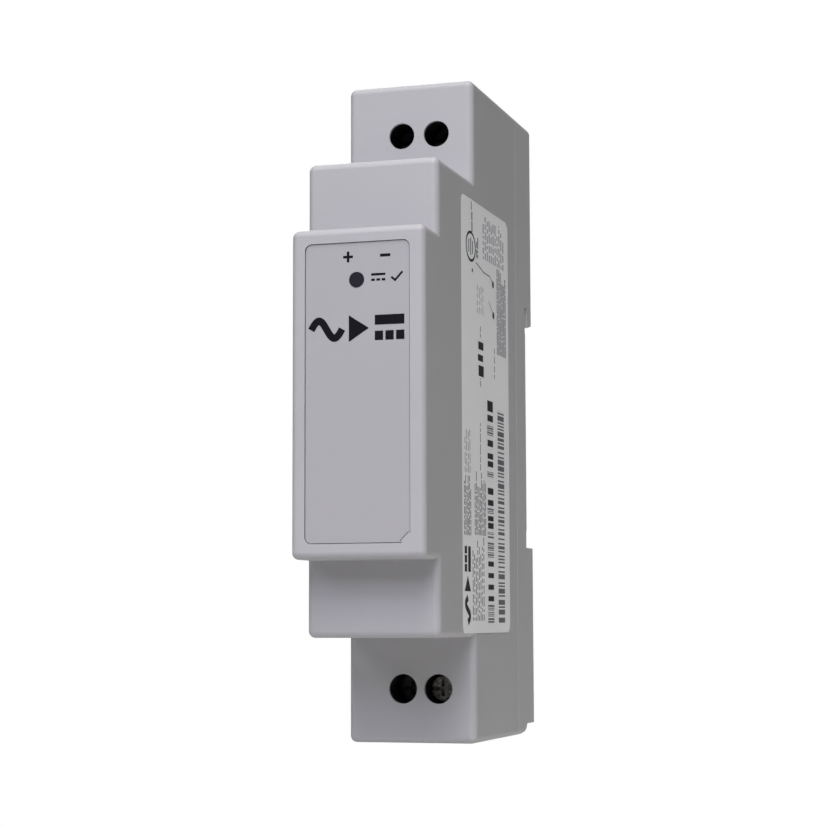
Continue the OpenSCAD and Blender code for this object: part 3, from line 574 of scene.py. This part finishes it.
bm = bmesh.new()
bmesh.ops.create_circle(bm, cap_ends=True, segments=96, radius=FLOOR_RADIUS)
mesh = bpy.data.meshes.new("floor")
bm.to_mesh(mesh)
bm.free()
floor = bpy.data.objects.new("floor", mesh)
floor.location = (0, 0, FLOOR_Z)
scene.collection.objects.link(floor)
floor_material = bpy.data.materials.new("floor")
g = Graph(floor_material)
at = g.add("ShaderNodeTexCoord").outputs["Object"]
far = g.add("ShaderNodeVectorMath", {0: at}, operation="LENGTH").outputs["Value"]
fade = g.add("ShaderNodeMapRange",
             {"Value": far, "From Min": PALE_FROM, "From Max": PALE_TO},
             interpolation_type="SMOOTHSTEP").outputs["Result"]
near = g.add("ShaderNodeMapRange",
             {"Value": far, "From Min": DARK_FROM, "From Max": DARK_TO},
             interpolation_type="SMOOTHSTEP").outputs["Result"]
seen = g.add("ShaderNodeLightPath").outputs["Is Camera Ray"]
fine = g.add("ShaderNodeMapping", {"Vector": at, "Scale": (400, 400, 400)}).outputs[0]
seen_tone = g.mix(g.noise(fine, 1.0), SEEN_LOW, SEEN_HIGH)
# Painted fill light: near the object and to its right the floor sends back more light
sideways = g.add("ShaderNodeSeparateXYZ", {"Vector": at}).outputs["X"]
close = g.range(far, RIGHT_FROM, RIGHT_TO, 0.0, 1.0)
painted_fill_mask = g.math("MULTIPLY", close, g.range(sideways, 0.0, RIGHT_OFFSET, 0.0, 1.0))
sent = g.mix(near, FLOOR_FAR, g.mix(painted_fill_mask, FLOOR_TONE, FLOOR_PAINTED_FILL))
tone = g.mix(seen, sent, seen_tone)
lit = g.add("ShaderNodeBsdfDiffuse", {"Color": tone})
glow = g.add("ShaderNodeEmission", {"Color": (*WHITE, 1.0), "Strength": 1.0})
both = g.add("ShaderNodeMixShader", {0: g.math("MULTIPLY", fade, seen),
                                     1: lit.outputs[0], 2: glow.outputs[0]})
g.add("ShaderNodeOutputMaterial", {"Surface": both.outputs[0]})
floor.data.materials.append(floor_material)

world = bpy.data.worlds.new("studio")
scene.world = world
g = Graph(world)
seen = g.add("ShaderNodeLightPath").outputs["Is Camera Ray"]
light = g.add("ShaderNodeBackground", {"Color": WORLD_LIGHT, "Strength": 1.0})
backdrop = g.add("ShaderNodeBackground", {"Color": (*WHITE, 1.0), "Strength": 1.0})
both = g.add("ShaderNodeMixShader", {0: seen, 1: light.outputs[0], 2: backdrop.outputs[0]})
g.add("ShaderNodeOutputWorld", {"Surface": both.outputs[0]})


LAMP_DISTANCE = 1.2
# Name, azimuth, elevation, the two angles that it covers, strength, colour
LAMPS = (
    ("key_low", 10, 30, 30, 22, 0.89, (0.94, 0.92, 1.14)),
    ("key_middle", 12, 45, 30, 15, 0.71, (1.015, 1.0, 0.985)),
    ("key_high", 12, 55, 30, 15, 0.47, (0.95, 1.02, 1.03)),
    ("top", 12, 70, 22, 16, 1.72, (1.05, 0.985, 0.965)),
    ("left", -30, 30, 16, 24, 0.34, (0.92, 0.95, 1.13)),
    ("right", 45, 25, 34, 14, 0.05, (0.9, 1.0, 1.1)),
    ("rear_fill", 215, 35, 40, 30, 1.15, (1.0, 1.0, 1.0)),
)


def lamp(name, azimuth, elevation, wide, high, strength, colour):
    """A soft box that shines at the object. Its strength is the light that reaches a face
    that looks straight at it."""
    a, e = math.radians(azimuth), math.radians(elevation)
    back = Vector((math.sin(a) * math.cos(e), -math.cos(a) * math.cos(e), math.sin(e)))
    data = bpy.data.lights.new(name, "AREA")
    data.shape = "RECTANGLE"
    data.size = 2 * LAMP_DISTANCE * math.tan(math.radians(wide / 2))
    data.size_y = 2 * LAMP_DISTANCE * math.tan(math.radians(high / 2))
    data.energy = strength * math.pi * LAMP_DISTANCE ** 2
    data.color = colour
    made = bpy.data.objects.new(name, data)
    centre = (cad_box[0] + cad_box[1]) / 2
    made.location = centre + back * LAMP_DISTANCE
    made.rotation_mode = "QUATERNION"
    made.rotation_quaternion = back.to_track_quat("Z", "Y")
    made.visible_camera = False
    scene.collection.objects.link(made)


for row in LAMPS:
    lamp(*row)

# The camera that fits the edges: its place in metres, and its angles in radians
LENS = 92.308
CAMERA_AT = (0.0866854, -0.3046447, -0.0291862)
TURN, PITCH, ROLL = 0.3031, 0.0984, -0.0028

camera_data = bpy.data.cameras.new("camera")
camera = bpy.data.objects.new("camera", camera_data)
scene.collection.objects.link(camera)
scene.camera = camera
camera_data.sensor_width = 36.0
camera_data.lens = LENS
camera_data.clip_start = 0.01
camera_data.clip_end = 50.0
level = Vector((-math.sin(TURN), math.cos(TURN), 0.0))
forward = level * math.cos(PITCH) + Vector((0, 0, math.sin(PITCH)))
flat_right = Vector((math.cos(TURN), math.sin(TURN), 0.0))
flat_up = flat_right.cross(forward)
right = flat_right * math.cos(ROLL) + flat_up * math.sin(ROLL)
camera_up = right.cross(forward)
turned = Matrix((right, camera_up, -forward)).transposed().to_4x4()
camera.matrix_world = Matrix.Translation(CAMERA_AT) @ turned

scene.view_settings.view_transform = "Standard"
